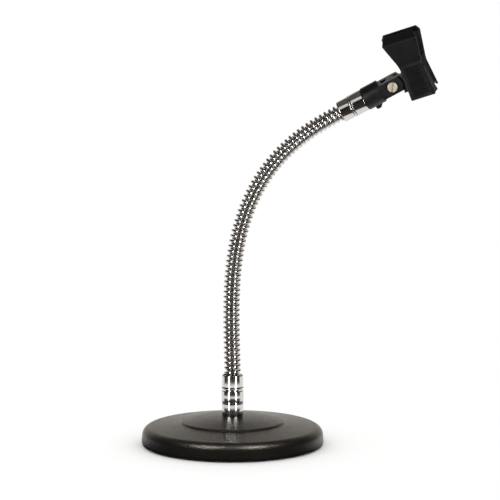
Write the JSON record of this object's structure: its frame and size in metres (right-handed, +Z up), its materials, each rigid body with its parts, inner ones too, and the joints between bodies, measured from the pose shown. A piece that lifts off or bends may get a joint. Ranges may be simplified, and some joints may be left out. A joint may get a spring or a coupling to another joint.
{
  "type": "desktop microphone stand",
  "caption": "Gooseneck desktop microphone stand: heavy round base, flexible chrome neck on threaded fittings, and a tilting spring clip.",
  "frame": {"origin": "centre of the underside of the base, on the desk", "axes": "+Z up from the desk; the neck bends in the XZ plane towards +X, with the clip at +X; -Y is the side the tilt screw's head faces"},
  "size_m": [0.2683, 0.165, 0.3825],
  "materials": {
    "base_coat": "black powder coat with a fine pebble texture",
    "desk_pad": "matte foam rubber",
    "zinc_steel": "zinc plated",
    "chrome": "polished chrome",
    "core_steel": "drawn steel wire",
    "clip_plastic": "moulded black, satin",
    "brass": "turned brass",
    "nickel": "nickel plated"
  },
  "bodies": {
    "stand_base": {"base_casting": "base_coat", "base_pad": "desk_pad", "base_stud": "zinc_steel", "stud_nut": "zinc_steel", "stud_washer": "zinc_steel", "base_stem": "chrome", "stem_washer": "chrome"},
    "neck_foot": {"lower_coupler": "chrome", "collar_ring": "chrome", "lower_ferrule": "chrome", "neck_wire_00": "chrome", "neck_core_00": "core_steel"},
    "neck_link_01": {"neck_wire_01": "chrome", "neck_core_01": "core_steel"},
    "neck_link_02": {"neck_wire_02": "chrome", "neck_core_02": "core_steel"},
    "neck_link_03": {"neck_wire_03": "chrome", "neck_core_03": "core_steel"},
    "neck_link_04": {"neck_wire_04": "chrome", "neck_core_04": "core_steel"},
    "neck_link_05": {"neck_wire_05": "chrome", "neck_core_05": "core_steel"},
    "neck_link_06": {"neck_wire_06": "chrome", "neck_core_06": "core_steel"},
    "neck_link_07": {"neck_wire_07": "chrome", "neck_core_07": "core_steel"},
    "neck_link_08": {"neck_wire_08": "chrome", "neck_core_08": "core_steel"},
    "neck_link_09": {"neck_wire_09": "chrome", "neck_core_09": "core_steel"},
    "neck_link_10": {"neck_wire_10": "chrome", "neck_core_10": "core_steel"},
    "neck_link_11": {"neck_wire_11": "chrome", "neck_core_11": "core_steel"},
    "neck_link_12": {"neck_wire_12": "chrome", "neck_core_12": "core_steel"},
    "neck_link_13": {"neck_wire_13": "chrome", "neck_core_13": "core_steel"},
    "neck_link_14": {"neck_wire_14": "chrome", "neck_core_14": "core_steel"},
    "neck_top": {"neck_wire_15": "chrome", "neck_core_15": "core_steel", "upper_ferrule": "chrome", "upper_ring": "chrome", "upper_coupler": "chrome"},
    "swivel": {"clip_socket": "clip_plastic", "socket_insert": "brass", "tilt_washer": "nickel", "tilt_nut": "nickel"},
    "screw": {"tilt_screw": "nickel"},
    "clip": {"clip_body": "clip_plastic", "jaw_pin": "nickel", "jaw_spring": "nickel"},
    "lever": {"clip_lever": "clip_plastic"}
  },
  "joints": [
    {"name": "neck_turn", "type": "hinge", "parent": "stand_base", "child": "neck_foot", "pos_m": [0, 0, 0.044], "axis": [0, 0, 1], "range_deg": [-180, 180]},
    {"name": "neck_side", "type": "hinge", "parent": "neck_foot", "child": "neck_link_01", "pos_m": [-0.00045, 0, 0.08149], "axis": [0.9997, 0, 0.025], "range_deg": [-10, 10]},
    {"name": "neck_side_2", "type": "hinge", "parent": "neck_link_01", "child": "neck_link_02", "pos_m": [-0.00094, 0, 0.12749], "axis": [0.9999, 0, -0.0158], "range_deg": [-10, 10]},
    {"name": "neck_bend", "type": "hinge", "parent": "neck_link_02", "child": "neck_link_03", "pos_m": [-0.00067, 0, 0.13784], "axis": [0, 1, 0], "range_deg": [-6.7, 6]},
    {"name": "neck_bend_2", "type": "hinge", "parent": "neck_link_03", "child": "neck_link_04", "pos_m": [0.00266, 0, 0.17446], "axis": [0, 1, 0], "range_deg": [-6.7, 6]},
    {"name": "neck_side_3", "type": "hinge", "parent": "neck_link_04", "child": "neck_link_05", "pos_m": [0.00405, 0, 0.18239], "axis": [0.9821, 0, -0.1882], "range_deg": [-10, 10]},
    {"name": "neck_bend_3", "type": "hinge", "parent": "neck_link_05", "child": "neck_link_06", "pos_m": [0.00801, 0, 0.19917], "axis": [0, 1, 0], "range_deg": [-6.7, 6]},
    {"name": "neck_bend_4", "type": "hinge", "parent": "neck_link_06", "child": "neck_link_07", "pos_m": [0.0157, 0, 0.22083], "axis": [0, 1, 0], "range_deg": [-6.7, 6]},
    {"name": "neck_side_4", "type": "hinge", "parent": "neck_link_07", "child": "neck_link_08", "pos_m": [0.02013, 0, 0.23019], "axis": [0.8896, 0, -0.4568], "range_deg": [-10, 10]},
    {"name": "neck_bend_5", "type": "hinge", "parent": "neck_link_08", "child": "neck_link_09", "pos_m": [0.02401, 0, 0.23724], "axis": [0, 1, 0], "range_deg": [-6.7, 6]},
    {"name": "neck_bend_6", "type": "hinge", "parent": "neck_link_09", "child": "neck_link_10", "pos_m": [0.03288, 0, 0.25066], "axis": [0, 1, 0], "range_deg": [-6.7, 6]},
    {"name": "neck_side_5", "type": "hinge", "parent": "neck_link_10", "child": "neck_link_11", "pos_m": [0.03786, 0, 0.25698], "axis": [0.7689, 0, -0.6393], "range_deg": [-10, 10]},
    {"name": "neck_bend_7", "type": "hinge", "parent": "neck_link_11", "child": "neck_link_12", "pos_m": [0.04477, 0, 0.26469], "axis": [0, 1, 0], "range_deg": [-6.7, 6]},
    {"name": "neck_bend_8", "type": "hinge", "parent": "neck_link_12", "child": "neck_link_13", "pos_m": [0.0583, 0, 0.27714], "axis": [0, 1, 0], "range_deg": [-6.7, 6]},
    {"name": "neck_bend_9", "type": "hinge", "parent": "neck_link_13", "child": "neck_link_14", "pos_m": [0.07701, 0, 0.2905], "axis": [0, 1, 0], "range_deg": [-6.7, 6]},
    {"name": "neck_side_6", "type": "hinge", "parent": "neck_link_14", "child": "neck_top", "pos_m": [0.08389, 0, 0.29467], "axis": [0.5067, 0, -0.8621], "range_deg": [-10, 10]},
    {"name": "clip_turn", "type": "hinge", "parent": "neck_top", "child": "swivel", "pos_m": [0.12346, 0, 0.31652], "axis": [0.8771, 0, 0.4802], "range_deg": [-180, 180]},
    {"name": "clip_tilt", "type": "hinge", "parent": "swivel", "child": "clip", "pos_m": [0.14267, 0, 0.32704], "axis": [-0.0998, 0.9781, 0.1824], "range_deg": [-68, 58]},
    {"name": "jaw_open", "type": "hinge", "parent": "clip", "child": "lever", "pos_m": [0.16041, -0.00192, 0.34706], "axis": [-0.9496, -0.039, -0.3109], "range_deg": [0, 20], "stiffness_Nm_per_rad": 0.25, "springref_deg": -28.65, "deforming": ["jaw_spring"]},
    {"name": "tilt_screw_turn", "type": "hinge", "parent": "swivel", "child": "screw", "pos_m": [0.14267, 0, 0.32704], "axis": [-0.0998, 0.9781, 0.1824], "continuous": true}
  ]
}
